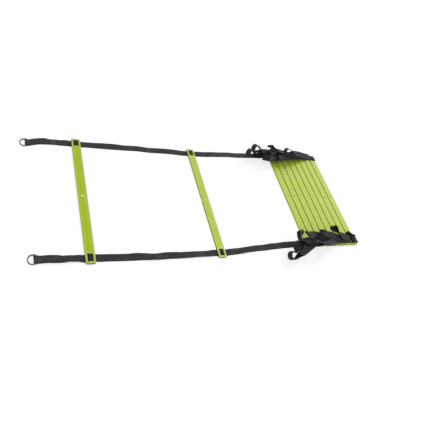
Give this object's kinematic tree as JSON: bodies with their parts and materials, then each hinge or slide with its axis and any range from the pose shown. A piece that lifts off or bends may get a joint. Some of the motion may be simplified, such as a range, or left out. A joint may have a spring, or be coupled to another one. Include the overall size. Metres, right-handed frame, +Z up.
{
  "type": "agility ladder",
  "caption": "Training ladder of flat plastic rungs threaded on two webbing side straps, partly gathered into a stack, with a D-ring in the sewn fold at each strap's leading end.",
  "frame": {"origin": "middle of the footprint, on the floor that the ladder lies on", "axes": "+X along the side straps from the D-rings to the gathered rungs, +Y towards the far strap, +Z up"},
  "size_m": [1.0932, 0.4736, 0.0578],
  "materials": {
    "rung_plastic": "semi-matt moulded plastic, yellow-green",
    "strap_webbing": "woven webbing, black",
    "ring_steel": "plated steel wire"
  },
  "bodies": {
    "gathered_ladder": {"side_strap_far": "strap_webbing", "side_strap_near": "strap_webbing", "rung_03": "rung_plastic", "rung_04": "rung_plastic", "rung_05": "rung_plastic", "rung_06": "rung_plastic", "rung_07": "rung_plastic", "rung_08": "rung_plastic", "rung_09": "rung_plastic", "rung_10": "rung_plastic"},
    "first_rung": {"rung_01": "rung_plastic"},
    "second_rung": {"rung_02": "rung_plastic"},
    "far_ring": {"d_ring_far": "ring_steel"},
    "near_ring": {"d_ring_near": "ring_steel"}
  },
  "joints": [
    {"name": "first_rung_slide", "type": "slide", "parent": "gathered_ladder", "child": "first_rung", "axis": [1, 0, 0], "range_m": [-0.03, 0.15], "deforming": ["side_strap_far", "side_strap_near"]},
    {"name": "second_rung_slide", "type": "slide", "parent": "gathered_ladder", "child": "second_rung", "axis": [1, 0, 0], "range_m": [-0.15, 0.15], "deforming": ["side_strap_far", "side_strap_near"]},
    {"name": "far_ring_swing", "type": "hinge", "parent": "gathered_ladder", "child": "far_ring", "pos_m": [-0.52914, 0.18162, 0.00307], "axis": [0, 1, 0], "range_deg": [0, 160]},
    {"name": "near_ring_swing", "type": "hinge", "parent": "gathered_ladder", "child": "near_ring", "pos_m": [-0.52114, -0.20168, 0.00307], "axis": [0, 1, 0], "range_deg": [0, 160]}
  ]
}
